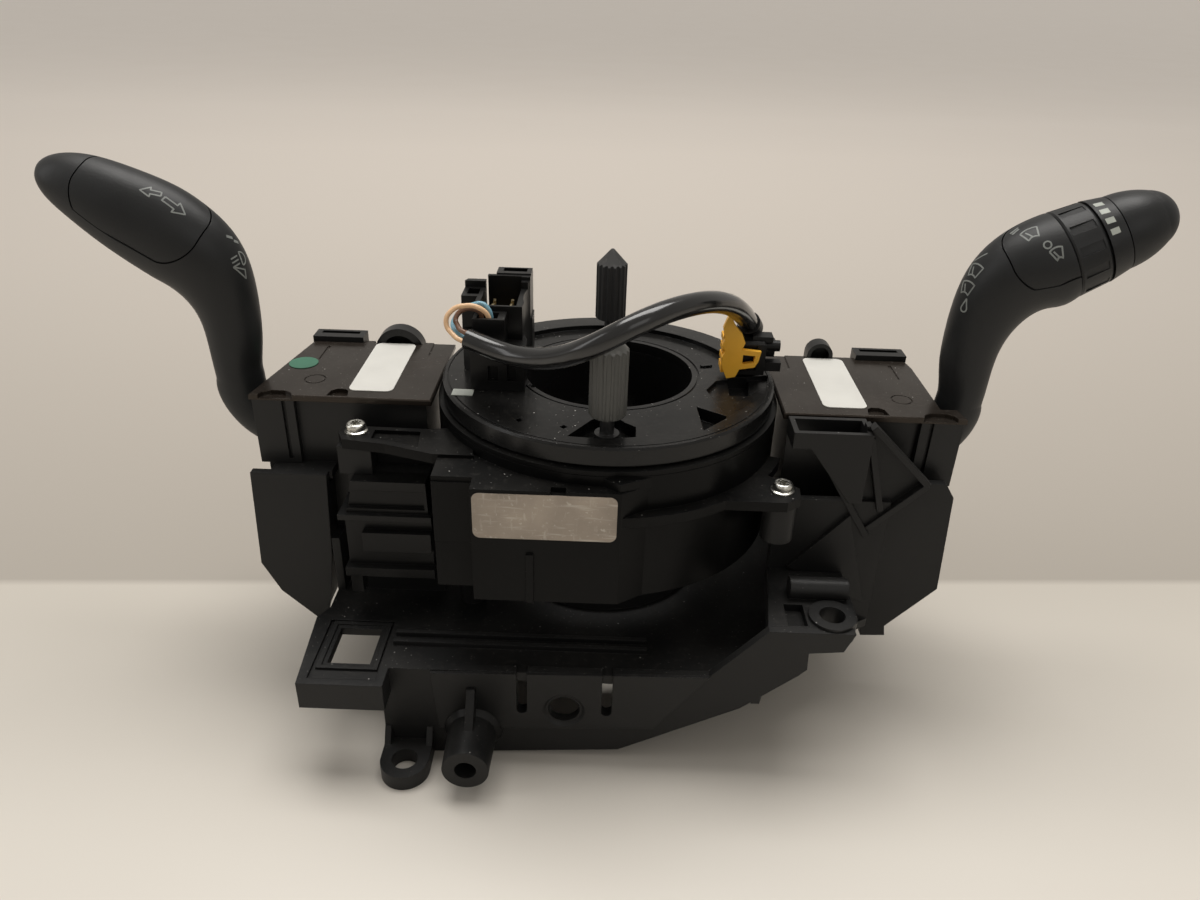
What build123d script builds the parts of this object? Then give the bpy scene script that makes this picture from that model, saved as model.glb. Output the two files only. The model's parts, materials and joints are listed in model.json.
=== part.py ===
from build123d import *
import os
from math import asin, atan2, cos, degrees, hypot, pi, radians, sin, tan

# Combination stalk switch with clock spring, for a steering column.
#
# Frame, in millimetres: the origin is on the steering axis, at the rotor's front face.
# +Z points along the steering axis to the driver, +Y to 12 o'clock, +X to the driver's right.
# The left stalk works the turn signals and lights, the right stalk the wipers.

# ---------------------------------------------------------------- driving dimensions
running_gap = 0.3          # between curved faces of different bodies
seat_gap = 0.1             # between a loose piece and its seat
pin_fit = 0.05             # radial clearance of a pin in its hole
wall = 2.0                 # usual moulded wall

# clock spring rotor
rotor_radius = 50.0
rotor_plate = 4.5
rotor_skirt_depth = 5.2
bore_radius = 25.4
collar_radius = 28.2
trough_outer = 42.5
trough_depth = 3.0
back_ring_drop = 1.4
facet_depth = 1.3
rotor_web = 0.8            # left under the deepest pockets
hub_length = 36.0
hub_wall = 2.2

# drive pins on the rotor, at 6 and 12 o'clock
pin_offset = 37.1
sleeve_radius = 5.15
sleeve_length = 18.5
sleeve_lift = 3.6
cone_height = 5.1
flute_count = 16
flute_depth = 0.5
core_radius = 2.0
core_foot = 3.4

# clock spring stator
stator_radius = 51.5
stator_top = -6.0
flange_radius = 55.0
flange_z = -18.0
flange_thickness = 3.0
stator_floor = -46.0
stator_bore = 31.0
front_face_y = -55.0
front_block_left = -35.0
front_block_right = 4.5
front_block_top = -10.5

# ribbon of the clock spring
ribbon_height = 14.0
ribbon_thickness = 0.35
ribbon_turns = 4
ribbon_lug = 0.9           # lug on the hub that holds the ribbon's inner end

# steering angle sensor
ring_teeth = 76
gear_module = 0.8
gear_width = 4.0
sensor_teeth = (16, 18)
sensor_start = 210.0
sensor_steps = (0, 8)
sensor_pin = 1.2
backlash = 0.12
sensor_z = -37.0

# switch modules, one on each side
module_inner = max(stator_radius - 0.5, rotor_radius + 1.0)
module_outer_front = module_inner + 53.0
module_outer_back = module_inner + 46.0
module_front = -19.0
module_back = 25.0
cover_top = -3.0
cover_thickness = 1.8
cover_overhang = 2.0
case_depth = 40.0
label_width = 13.0
label_length = 37.0
label_thickness = 0.2

# lever pivot in each module, and its mechanism
pivot_x = module_inner + 25.0
pivot_y = 1.0
pivot_z = -21.0
yoke_width = 22.0
yoke_height = 20.0
yoke_length = 20.0
yoke_wall = 2.4
trunnion_radius = 4.0
lever_pin_radius = 2.0
stub_half_width = 5.5
stub_half_height = 5.0
plunger_radius = 2.2
spring_wire = 0.5
spring_turns = 5
tip_reach = 18.0
turn_swing = 8.0
aperture_half = 14.0

# stalks
grip_angle_left = 32.0
grip_angle_right = 27.0
panel_groove = 0.35
rib_count = 12

# carrier
plate_top = -67.5
plate_thickness = 3.0
skirt_bottom = -99.5
front_wall_y = -60.0
front_wall_thickness = 2.5
skirt_half = 62.0          # half width of the skirt under the plate
skirt_back = 44.0
cheek = pivot_x + 7.0      # outer face of the cheek under each module
column_bore = 27.5
collar_wall = 3.0
ear_hole_radius = 3.7
ear_thickness = 5.0
ear_x = -55.0
ear_half = 7.0
ear_reach = 8.0
boss_radius = 6.6
boss_hole_radius = 3.05
boss_length = 16.5
boss_x = -36.0
boss_z = -89.0
right_boss_z = -49.5
right_boss_x = 64.8
right_boss_y = -53.0
right_boss_hole = 3.6
right_boss_radius = 6.6
shelf_thickness = 6.0
guide_outside = (51.9, 74.0, -31.3, -20.8)
guide_wall = 1.5
guide_ring_height = 5.0
guide_top = -3.0
guide_low = -25.2
tray_left = -83.4
tray_right = -59.4
tray_front = -67.5
tray_edge = 9.0
tray_rim = 2.4
tray_recess = 0.8
tray_window = (-77.2, -65.0, -58.3, -43.1)
wing_face_y = -25.5
wing_thickness = 2.5
wing_ledge = -25.5         # top of the ledge that the module stands against

# rotor connector, cable and plug
lead_radius = 3.0
wire_radius = 0.7

# screws
screw_head_radius = 2.75
screw_flange_radius = 3.3
screw_shank_radius = 2.0
screw_flange_height = 0.9
screw_head_height = 1.9

os.makedirs("parts", exist_ok=True)
nodes = {}


# ---------------------------------------------------------------- helpers
def block(x0, x1, y0, y1, z0, z1):
    """A box between two corners."""
    size = Box(x1 - x0, y1 - y0, z1 - z0)
    return Pos((x0 + x1) / 2, (y0 + y1) / 2, (z0 + z1) / 2) * size


def disc(radius, z0, z1, x=0.0, y=0.0):
    """A cylinder along Z."""
    return Pos(x, y, (z0 + z1) / 2) * Cylinder(radius, z1 - z0)


def rod_y(radius, y0, y1, x, z):
    """A cylinder along Y."""
    return Pos(x, (y0 + y1) / 2, z) * Rot(90, 0, 0) * Cylinder(radius, y1 - y0)


def rod_x(radius, x0, x1, y, z):
    """A cylinder along X."""
    return Pos((x0 + x1) / 2, y, z) * Rot(0, 90, 0) * Cylinder(radius, x1 - x0)


def ring(outer, inner, z0, z1, x=0.0, y=0.0):
    return disc(outer, z0, z1, x, y) - disc(inner, z0 - 1, z1 + 1, x, y)


def plan(points, z0, z1):
    """A prism with its outline in XY."""
    outline = make_face(Polyline(*points, close=True))
    return Pos(0, 0, z0) * extrude(outline, z1 - z0)


def front(points, y0, y1):
    """A prism with its outline in XZ, from y0 back to y1."""
    plane = Plane(origin=(0, y1, 0), x_dir=(1, 0, 0), z_dir=(0, -1, 0))
    outline = plane * make_face(Polyline(*points, close=True))
    return extrude(outline, y1 - y0, dir=(0, -1, 0))


def side(points, x0, x1):
    """A prism with its outline in YZ, from x0 to x1."""
    plane = Plane(origin=(x0, 0, 0), x_dir=(0, 1, 0), z_dir=(1, 0, 0))
    outline = plane * make_face(Polyline(*points, close=True))
    return extrude(outline, x1 - x0, dir=(1, 0, 0))


def sector(r0, r1, a0, a1, z0, z1):
    """A slice of a ring between two angles in degrees."""
    def at(r, a):
        return (r * cos(radians(a)), r * sin(radians(a)))
    middle = (a0 + a1) / 2
    edges = [Line(at(r0, a0), at(r1, a0)),
             ThreePointArc(at(r1, a0), at(r1, middle), at(r1, a1)),
             Line(at(r1, a1), at(r0, a1)),
             ThreePointArc(at(r0, a1), at(r0, middle), at(r0, a0))]
    return Pos(0, 0, z0) * extrude(make_face(edges), z1 - z0)


def bevelled(shape, cut):
    """The shape with its top edges bevelled."""
    return chamfer(shape.edges().group_by(Axis.Z)[-1], cut)


def mirrored(shape):
    return mirror(shape, about=Plane.YZ)


def both_sides(name, shape):
    """The shape is drawn on the right; its mirror image is the left one."""
    nodes["right_" + name] = shape
    nodes["left_" + name] = mirrored(shape)


# ---------------------------------------------------------------- clock spring rotor
def rotor_disc():
    body = disc(rotor_radius, -rotor_plate, 0)
    body = chamfer(body.edges().sort_by(Axis.Z)[-1], 0.6)
    body += ring(rotor_radius, rotor_radius - wall, -rotor_skirt_depth, -rotor_plate)
    body -= disc(bore_radius, -rotor_plate - 1, 1)
    # trough and lowered rim round the back
    body -= sector(collar_radius, trough_outer, 8, 141, -trough_depth, 1)
    body -= sector(trough_outer - 0.5, rotor_radius + 1, 8, 141, -back_ring_drop, 1)
    # raised lip round the bore and the line near the outer rim
    body -= ring(collar_radius - 0.6, bore_radius + 1.6, -0.4, 1)
    body -= ring(rotor_radius - 1.4, rotor_radius - 1.8, -0.3, 1)
    # sunk facet at the front right, its slot and the deep triangular pocket
    deep = -rotor_plate + rotor_web
    body -= plan([(28.8, -11.6), (32.3, -4.8), (48.8, 1.0), (46.1, -13.6), (33.2, -29.2)], -facet_depth, 1)
    body -= plan([(25.1, -23.1), (33.7, -29.0), (26.0, -37.8)], deep, 1)
    body -= plan([(36.0, -1.9), (42.7, -1.3), (41.3, -11.9), (35.7, -12.4)], deep, 1)
    # recess round the foot of each drive pin, and the one that runs on from the front pin
    for way in (-1, 1):
        body -= disc(core_foot + 2.0, -rotor_plate + 1.0, 1, 0, way * pin_offset)
    recess = [(-10.4, -43.8), (-4.7, -34.5), (5.1, -34.9), (7.8, -37.1), (7.7, -42.9), (0, -44.6)]
    body -= plan(recess, -rotor_plate + 1.0, 1)
    # ribs left standing in the trough, by the plug
    for x, y in ((30.5, 7.0), (33.0, 9.5), (31.0, 12.5)):
        body += Pos(x, y, -trough_depth) * Rot(0, 0, 20) * Box(3.6, 1.2, 1.6)
    # holes for the lead's clips
    for x, y in ((-22, -13.1), (-23.9, -35.4), (-11.6, -38.5)):
        body -= Pos(x, y, 0) * Rot(0, 0, 45) * Box(1.6, 1.6, 2.4)
    # socket for the hub's upper end
    body -= ring(bore_radius + hub_wall + 0.02, bore_radius - 1, -rotor_plate - 1, -rotor_plate + 1.2)
    return body


def rotor_hub():
    top = -rotor_plate + 1.2
    bottom = -rotor_plate - hub_length
    body = ring(bore_radius + hub_wall, bore_radius, bottom, top)
    # rib that the ribbon's inner end is clipped to
    lug_x = bore_radius + hub_wall + ribbon_lug
    body += block(bore_radius + 1, lug_x, -2.5, 2.5, -24, -8)
    return body


def fluted_sleeve(y):
    base = sleeve_lift
    outline = [(core_radius + pin_fit, base), (sleeve_radius - 0.4, base),
               (sleeve_radius, base + 0.5), (sleeve_radius, base + sleeve_length),
               (0.5, base + sleeve_length + cone_height),
               (0, base + sleeve_length + cone_height),
               (0, base + sleeve_length - 2), (core_radius + pin_fit, base + sleeve_length - 2)]
    body = revolve(Plane.XZ * make_face(Polyline(*outline, close=True)), Axis.Z)
    flute = 0.8
    centre = sleeve_radius + flute - flute_depth
    for step in range(flute_count):
        turn = 360 / flute_count * step
        groove = Pos(centre * cos(radians(turn)), centre * sin(radians(turn)),
                     base + sleeve_length / 2 + 2) * Cylinder(flute, sleeve_length + 6)
        body -= groove
    return Pos(0, y, 0) * body


def pin_core(y):
    foot = disc(core_foot, -rotor_plate + 1.0, -rotor_plate + 2.6, 0, y)
    return foot + disc(core_radius, -rotor_plate + 2.6, sleeve_lift + sleeve_length - 2.1, 0, y)


# ---------------------------------------------------------------- connector on the rotor
# The connector's stepped side (y, z), its plan above the base, and the plan of the base.
connector_side = [(-17, 10), (-17, 21.5), (-10, 21.5), (-10, 23), (6, 23), (6, 25), (8, 25), (8, 26),
                  (10, 26), (10, 26.4), (17, 26.4), (17, 10)]
connector_upper = [(-38.5, -17), (-29.5, -17), (-29.5, -10), (-25.2, -10), (-24.4, 10), (-24.4, 17),
                   (-34.8, 17), (-34.8, 10), (-37.2, 10), (-37.2, 8), (-43.0, 8), (-43.8, 6), (-43.8, -2),
                   (-39.1, -2), (-39.1, -10), (-38.5, -10)]
connector_base = [(-39.5, -17), (-24.0, -17), (-24.0, 16), (-38.0, 16), (-41.0, 8), (-43.8, 6), (-43.8, -2),
                  (-41.0, -4)]
connector_base_height = 13.0
socket = (-37.6, -27.0, -9.0, 8.6)
socket_floor = 9.0


def rotor_connector():
    body = side(connector_side, -45, -22) & plan(connector_upper, 0, 30)
    body += plan(connector_base, 0, connector_base_height)
    # the open socket, the slots of the clip, of the tower and of the side block
    body -= block(*socket, socket_floor, 30)
    body -= block(-37.4, -31.6, -15.8, -11.2, 15, 30)
    body -= block(-33.0, -25.8, 12, 15.2, 20, 30)
    body -= block(-42.4, -39.0, 0.0, 5.0, 15, 30)
    # lower recesses and the tower's bevel
    body -= block(-34.5, -31.5, -18, -15.4, 3, 7.5)
    body -= block(-29, -26.5, -18, -15.4, 3, 9)
    body -= block(-44.5, -42.2, 1, 4, 4, 12)
    body -= side([(15.6, 27), (17.5, 27), (17.5, 23.5)], -45, -22)
    # the side towards the axis leaves the bore free
    return body - disc(bore_radius + running_gap, -1, 30)


def terminal_block():
    """The insert with the contact blades, in the open socket."""
    x0, x1, y0, y1 = socket
    body = block(x0 + seat_gap, x1 - seat_gap, y0 + seat_gap, y1 - seat_gap, socket_floor, socket_floor + 5)
    for row in (-35.0, -29.6):
        for step in range(4):
            y = -6.4 + 4 * step
            body += block(row - 0.4, row + 0.4, y - 0.8, y + 0.8, socket_floor + 5, socket_floor + 10.5)
    return body


def route_tube(points, radius, label):
    """A cord: straight runs joined by arcs, each as large as its two runs allow."""
    runs = [(Vector(*b) - Vector(*a)) for a, b in zip(points, points[1:])]
    radii = []
    for first, second in zip(runs, runs[1:]):
        half_turn = radians(first.get_angle(second)) / 2
        radii.append(0.45 * min(first.length, second.length) / tan(half_turn))
    path = FilletPolyline(*points, radius=radii)
    start = Plane(origin=points[0], z_dir=runs[0])
    tube = sweep(start * Circle(radius), path=path)
    print(label, "radii", [round(r, 1) for r in radii], "length", round(path.length, 1),
          "volume", round(tube.volume, 1), "section x length", round(pi * radius ** 2 * path.length, 1))
    return tube


airbag_route = [(-39.2, -20.5, 17.0), (-29.6, -25.3, 15.1), (-20.7, -31.8, 16.4), (-12.2, -39.0, 20.1),
                (-3.7, -44.6, 26.0), (5.0, -44.4, 31.2), (13.7, -38.5, 33.5), (23.2, -29.0, 32.9),
                (30.8, -18.5, 29.5), (37.2, -8.0, 23.4), (41.1, 1.6, 16.5)]


# The three cores leave the end of the lead's sheath and turn back into the clip of the rotor connector.
sheath_end = Plane(origin=airbag_route[0], x_dir=(0, 1, 0),
                   z_dir=Vector(*airbag_route[0]) - Vector(*airbag_route[1]))
core_circle = 1.4
orange_route = [(-45.6, -18.0, 19.2), (-45.6, -17.2, 22.2), (-43.0, -16.0, 24.6), (-38.0, -15.2, 25.0),
                (-34.0, -14.8, 22.4), (-34.0, -14.8, 15.0)]
brown_route = [(-43.6, -15.4, 20.6), (-42.4, -14.2, 22.6), (-39.6, -13.6, 23.6), (-36.4, -13.3, 22.6),
               (-36.4, -13.3, 15.0)]
blue_route = [(-44.6, -14.6, 18.2), (-43.8, -12.4, 20.6), (-40.4, -11.8, 23.4), (-36.0, -11.8, 24.6),
              (-33.8, -12.4, 22.0), (-33.8, -12.4, 15.0)]


def core_wire(turn, points, label):
    """One core of the lead, starting square to the sheath's end."""
    x = core_circle * cos(radians(turn))
    y = core_circle * sin(radians(turn))
    start = sheath_end.from_local_coords((x, y, 0))
    straight = sheath_end.from_local_coords((x, y, 3.0))
    return route_tube([tuple(start), tuple(straight)] + points, wire_radius, label)


def airbag_plug():
    """The black plug parked on the rotor, under the end of the lead."""
    body = bevelled(block(36.4, 46.6, -3.0, 8.0, 1.6, 12.0), 0.8)
    # foot, shield plate and the two prongs on the outer side
    body += block(37.8, 44.4, 0.2, 6.0, 0.1, 1.6)
    body += block(42.5, 48.6, -1.5, 3.0, 11.5, 13.2)
    body += rod_x(1.7, 46.0, 51.0, 0.4, 9.9)
    body += block(46.0, 51.7, -1.6, 1.6, 2.4, 5.2)
    body += block(46.0, 50.4, 3.6, 6.4, 5.0, 10.0)
    body -= block(38, 44, -3.5, -2.2, 3, 11)
    # strain relief, in line with the lead's end
    lead_end = Vector(*airbag_route[-1])
    heading = lead_end - Vector(*airbag_route[-2])
    relief = extrude(Plane(origin=lead_end, z_dir=heading) * Circle(lead_radius + 0.5), 6.0)
    return body + relief


# The lock's leaf-shaped plate, seen from the front (x, z), with the frame of its window.
lock_leaf = [(34.7, 21.2), (36.4, 17.8), (38.8, 15.0), (39.9, 12.4), (39.1, 10.2), (44.9, 9.7), (44.3, 6.5),
             (43.3, 4.7), (38.9, 3.9), (37.9, 1.5), (35.3, 0.9), (33.7, 4.3), (33.4, 7.4), (34.2, 9.4),
             (33.2, 11.2), (33.8, 13.4), (33.0, 16.8), (33.8, 19.3)]


def plug_lock():
    """The yellow lock slide on the near side of the plug."""
    body = front(lock_leaf, -4.7, -3.1)
    body -= front([(39.6, 8.6), (43.3, 8.3), (42.9, 6.2), (39.6, 5.6)], -5, -3)
    body += block(33.6, 36.3, -3.2, 3.4, 2.2, 14.0)
    for step in range(4):
        z = 4.0 + 3 * step
        body -= block(33.0, 34.3, -2.4, 5, z, z + 1.3)
    return body


# ---------------------------------------------------------------- clock spring stator
def stator_housing():
    body = disc(stator_radius, stator_floor, stator_top - 1.5)
    flange_low = flange_z - flange_thickness
    body += sector(40, flange_radius, -100, -20, flange_low, flange_z)
    # block with the flat face at 6 o'clock
    block_plan = [(-46, -49), (front_block_left, -49), (front_block_left, front_face_y),
                  (front_block_right, front_face_y), (12.5, -49.5), (20, -40), (-46, -20)]
    body += plan(block_plan, stator_floor, front_block_top)
    body += plan([(4.0, front_face_y + 0.4), (12.5, -49.9), (12.5, -40), (-4, -40), (-4, -49)],
                 front_block_top - 1, stator_top - 2.0)
    # screw ears
    right_ear = [(30, -44), (50, -44), (54, -41), (54.5, -36), (50.5, -32.5), (40, -24), (28, -30)]
    left_ear = [(-36, -39), (-47.4, -39), (-61.5, -34.3), (-74, -32.3), (-76, -28), (-74.5, -24),
                (-50.4, -24.4), (-40, -22)]
    body += plan(right_ear, flange_low, flange_z)
    body += plan(left_ear, left_ear_top - flange_thickness, left_ear_top)
    body -= plan([(-52, -35.4), (-60.5, -32.2), (-66, -31.2), (-66, -26), (-53, -26.2)], left_ear_top - 1.2,
                 left_ear_top + 1)
    # end block of the side connector, with its latch window
    body += block(-46, front_block_left, -49.5, -40, -31, -12)
    body -= block(-44.5, -37.5, -47.5, -42.5, -14, -11)
    # steps and ribs on the lower front
    body += block(-34, -32, front_face_y, -48, stator_floor, -29)
    body += block(-20.5, -18.5, front_face_y - 0.8, -48, stator_floor, -30)
    # ribbon and sensor chamber, bore and screw holes
    body -= ring(stator_radius - wall, 0, stator_floor + wall, stator_top)
    body -= disc(stator_bore, stator_floor - 1, stator_floor + 5)
    for x, y, top in stator_screws:
        body -= disc(screw_shank_radius + 0.1, top - 4, top + 1, x, y)
    body -= block(-14, -10, front_face_y - 1, front_face_y + 2.5, front_block_top - 1.5, front_block_top + 1)
    return body


left_ear_top = -9.5
stator_screws = [(49.3, -37.6, flange_z), (-71.0, -27.3, left_ear_top)]


def stator_cover():
    """The ring that closes the ribbon chamber under the rotor."""
    body = ring(stator_radius, bore_radius + hub_wall + running_gap, stator_top - 1.4, stator_top)
    body += ring(stator_radius - wall - 0.1, stator_radius - 2 * wall, stator_top - 3.5, stator_top - 1.4)
    return body


def partition():
    """The floor of the ribbon chamber, over the sensor gears."""
    lip = stator_radius - wall - 0.1
    return ring(lip, bore_radius + hub_wall + 1.2, -27.0, -25.6)


def ribbon():
    """The flat cable, wound in half turns from the hub's lug out to the stator's wall."""
    edges = []
    start = bore_radius + hub_wall + ribbon_lug + running_gap + ribbon_thickness / 2
    end = stator_radius - wall - running_gap - ribbon_thickness / 2
    pitch = (end - start) / ribbon_turns
    radius = start
    x = radius
    for half in range(2 * ribbon_turns):
        way = 1 if half % 2 == 0 else -1
        centre = x - way * radius
        edges.append(ThreePointArc((x, 0), (centre, way * radius), (centre - way * radius, 0)))
        x = centre - way * radius
        radius += pitch / 2
    path = Wire(edges)
    middle = stator_top - 3.5 - ribbon_height / 2
    band = Plane(origin=(start, 0, middle), x_dir=(1, 0, 0), z_dir=(0, 1, 0)) * \
        Rectangle(ribbon_thickness, ribbon_height)
    path = Pos(0, 0, middle) * path
    return sweep(band, path=path)


# ---------------------------------------------------------------- steering angle sensor gears
def gear_outline(teeth, phase):
    """Involute teeth, 20 degree pressure angle, three points on each flank."""
    pitch = gear_module * teeth / 2
    base = pitch * cos(radians(20))
    root = pitch - 1.25 * gear_module
    tip = pitch + 0.95 * gear_module

    def involute(r):
        slope = tan(radians(20)) if r == pitch else (max(r / base, 1.0) ** 2 - 1) ** 0.5
        return slope - atan2(slope, 1)

    half_at_pitch = pi / (2 * teeth) - backlash / (2 * pitch)
    flank = []
    for r in (root, pitch, tip):
        flank.append((r, half_at_pitch + involute(pitch) - involute(r)))
    points = []
    for tooth in range(teeth):
        middle = radians(phase) + 2 * pi * tooth / teeth
        for r, half in flank:
            points.append((r * cos(middle - half), r * sin(middle - half)))
        for r, half in reversed(flank):
            points.append((r * cos(middle + half), r * sin(middle + half)))
    return points


def gear_places():
    """Centre, teeth and phase of each small gear, in mesh with the ring gear."""
    places = []
    for teeth, steps in zip(sensor_teeth, sensor_steps):
        angle = sensor_start + 360 / ring_teeth * steps
        distance = gear_module * (ring_teeth + teeth) / 2
        x = distance * cos(radians(angle))
        y = distance * sin(radians(angle))
        places.append((x, y, teeth, angle + 180 + 180 / teeth))
    return places


def ring_gear():
    z0 = sensor_z - gear_width / 2
    body = plan(gear_outline(ring_teeth, sensor_start), z0, z0 + gear_width)
    return body - disc(bore_radius + hub_wall, z0 - 1, z0 + gear_width + 1)


def sensor_gear(place):
    x, y, teeth, phase = place
    z0 = sensor_z - gear_width / 2 + 0.4
    body = Pos(x, y, 0) * plan(gear_outline(teeth, phase), z0, z0 + gear_width - 0.8)
    body += disc(2.6, z0 + gear_width - 0.8, z0 + gear_width + 1.6, x, y)
    body += disc(3.2, z0 - 0.6, z0, x, y)
    return body - disc(sensor_pin + pin_fit, z0 - 2, z0 + gear_width + 3, x, y)


def sensor_board():
    """The board under the gears, with the pins that they turn on."""
    top = stator_floor + wall + 1.6
    body = sector(stator_bore + 1.0, stator_radius - wall - 0.5, 196, 262, stator_floor + wall, top)
    for x, y, teeth, phase in gear_places():
        body += disc(sensor_pin + 1.2, top, sensor_z - gear_width / 2 - 0.3, x, y)
        body += disc(sensor_pin, sensor_z - gear_width / 2 - 0.3, sensor_z + gear_width / 2 + 1.5, x, y)
    return body


# ---------------------------------------------------------------- switch modules, drawn on the right
cover_bottom = cover_top - cover_thickness
case_bottom = cover_bottom - case_depth
case_floor = case_bottom + wall
yoke_low = pivot_z - yoke_height / 2
yoke_high = pivot_z + yoke_height / 2
bearing_radius = trunnion_radius + 2.5
trunnion_length = 4.5


def module_plan(inset):
    lean = (module_outer_front - module_outer_back) / (module_back - module_front)
    return [(module_inner + inset, module_front + inset),
            (module_outer_front - inset - lean * inset, module_front + inset),
            (module_outer_back - inset + lean * inset, module_back - inset),
            (module_inner + inset, module_back - inset)]


# Behind the case's back wall: a slotted box and an arched tab, each by its ends in x.
back_box = (module_inner + 30.0, module_inner + 46.5)
back_box_depth = 4.5
tab_x = module_inner + 18.2
left_tab_radius = 8.0
right_tab_radius = 4.2
tab_top = 2.1
tab_depth = 3.0
front_column = (module_inner + 40.0, module_outer_front - 0.8)
# Recesses at the cover's front edge: centre x, half width, distance of their ends from the edge.
cover_notches = ((module_inner + 45.3, 5.2, -0.5, 3.2), (module_inner + 27.5, 3.1, 0.8, 5.7))


def module_case(tab_radius):
    back = module_back - cover_overhang
    body = plan(module_plan(cover_overhang), case_bottom, cover_bottom)
    body += block(*back_box, back, module_back + back_box_depth, -22, -1.3)
    arch_z = tab_top - tab_radius
    body += block(tab_x - tab_radius, tab_x + tab_radius, back, module_back + tab_depth, -22, arch_z)
    body += rod_y(tab_radius, back, module_back + tab_depth, tab_x, arch_z)
    body += block(*front_column, module_front, module_front + cover_overhang, wing_ledge + seat_gap,
                  cover_bottom)
    body -= plan(module_plan(cover_overhang + wall), case_floor, cover_bottom + 12)
    body -= block(back_box[0] + wall, back_box[1] - wall, module_back + 1.2, module_back + 3.2, -14, 0)
    # the tab's hollow, open to the front above the cover
    body -= rod_y(tab_radius * 0.7, back - 1, module_back + 1.5, tab_x, arch_z)
    # aperture for the lever
    body -= block(module_outer_back - 6, module_outer_front + 2, pivot_y - aperture_half,
                  pivot_y + aperture_half, pivot_z - 12.5, cover_bottom + 1)
    # groove in the front column
    groove = front_column[0] + 2.4
    body -= block(groove, groove + 1.2, module_front - 1, module_front + 1.0, -24, 0)
    # lower bearing of the yoke
    body += disc(bearing_radius, case_floor, yoke_low - running_gap, pivot_x, pivot_y)
    body -= disc(trunnion_radius + pin_fit, yoke_low - trunnion_length - 0.5, yoke_low + 1, pivot_x, pivot_y)
    return body


def module_cover(tab_radius):
    back = module_back - cover_overhang - 0.2
    body = bevelled(plan(module_plan(0), cover_bottom, cover_top), 0.4)
    inner = cover_overhang + wall + 0.15
    body += plan(module_plan(inner), cover_bottom - 1.6, cover_bottom)
    body -= plan(module_plan(inner + 1.2), cover_bottom - 2, cover_bottom)
    body += disc(bearing_radius, yoke_high + running_gap, cover_bottom, pivot_x, pivot_y)
    bearing_end = yoke_high + trunnion_length + 0.5
    body -= disc(trunnion_radius + pin_fit, yoke_high - 1, bearing_end, pivot_x, pivot_y)
    # recesses at the front edge, moulding marks and stepped back edge
    for x, half, near, far in cover_notches:
        notch = [(x - half, module_front + near), (x + half, module_front + near),
                 (x + half * 0.8, module_front + far - 1.2), (x + half * 0.4, module_front + far),
                 (x - half * 0.4, module_front + far), (x - half * 0.8, module_front + far - 1.2)]
        body -= plan(notch, cover_bottom + 0.5, cover_top + 1)
    body -= ring(3.2, 2.8, cover_top - 0.25, cover_top + 1, pivot_x + 12, pivot_y - 8)
    body -= block(pivot_x + 14.5, pivot_x + 15.5, 8.0, 19.0, cover_top - 0.3, cover_top + 1)
    body -= block(module_inner - 1, module_inner + 7, 14.0, module_back + 1, cover_top - 0.5, cover_top + 1)
    # room for the case's raised box and tab
    body -= block(back_box[0] - 0.2, back_box[1] + 5, back, module_back + 1, cover_bottom - 1, cover_top + 1)
    body -= block(tab_x - tab_radius - 0.2, tab_x + tab_radius + 0.2, back, module_back + 1, cover_bottom - 1,
                  cover_top + 1)
    return body


def stalk_relief():
    """The flat in the right cover's outer edge that the stalk leans over when it is pulled."""
    neck = module_outer_back + 0.8
    return block(neck, module_outer_front + 1, pivot_y - aperture_half, pivot_y + aperture_half + 4,
                 cover_bottom - 1, cover_top + 1)


def label_plate():
    outline = RectangleRounded(label_width, label_length, 2.2)
    return Pos(module_inner + 18.8, 4.2, cover_top) * extrude(outline, label_thickness)


def front_label():
    """The blank metallised label on the flat face of the stator."""
    plane = Plane(origin=(-15.5, front_face_y, -18.4), x_dir=(1, 0, 0), z_dir=(0, -1, 0))
    return extrude(plane * RectangleRounded(38.0, 13.8, 2.0), label_thickness)


def tape_strip():
    """A short silver strip on the rotor, in front of the connector."""
    return block(-44.6, -38.6, -21.4, -17.3, 0, label_thickness)


def marker_dot():
    return disc(4.4, cover_top, cover_top + label_thickness, -module_inner - 44.0, 4.5)


def yoke():
    x0 = pivot_x - yoke_length / 2
    x1 = pivot_x + yoke_length / 2
    y0 = pivot_y - yoke_width / 2
    y1 = pivot_y + yoke_width / 2
    body = block(x0, x1, y0, y1, yoke_low, yoke_high)
    body -= block(x0 - 1, x1 + 1, y0 + yoke_wall, y1 - yoke_wall, yoke_low + yoke_wall, yoke_high - yoke_wall)
    body += disc(trunnion_radius, yoke_high, yoke_high + trunnion_length, pivot_x, pivot_y)
    body += disc(trunnion_radius, yoke_low - trunnion_length, yoke_low, pivot_x, pivot_y)
    return body - rod_y(lever_pin_radius + 0.01, y0 - 1, y1 + 1, pivot_x, pivot_z)


def lever_pin():
    half = yoke_width / 2 + 0.2
    return rod_y(lever_pin_radius, pivot_y - half, pivot_y + half, pivot_x, pivot_z)


def lever_root():
    """The part of the lever inside the module: hub, bar and plunger tube."""
    reach = yoke_width / 2 - yoke_wall - running_gap
    body = rod_y(5.5, pivot_y - reach, pivot_y + reach, pivot_x, pivot_z)
    body += block(pivot_x, pivot_x + 24, pivot_y - stub_half_width, pivot_y + stub_half_width,
                  pivot_z - stub_half_height, pivot_z + stub_half_height)
    body += rod_x(3.9, pivot_x - tip_reach + 4.5, pivot_x, pivot_y, pivot_z)
    body -= rod_x(plunger_radius + pin_fit, pivot_x - tip_reach, pivot_x - 4.5, pivot_y, pivot_z)
    return body - rod_y(lever_pin_radius + pin_fit, pivot_y - 20, pivot_y + 20, pivot_x, pivot_z)


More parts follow.
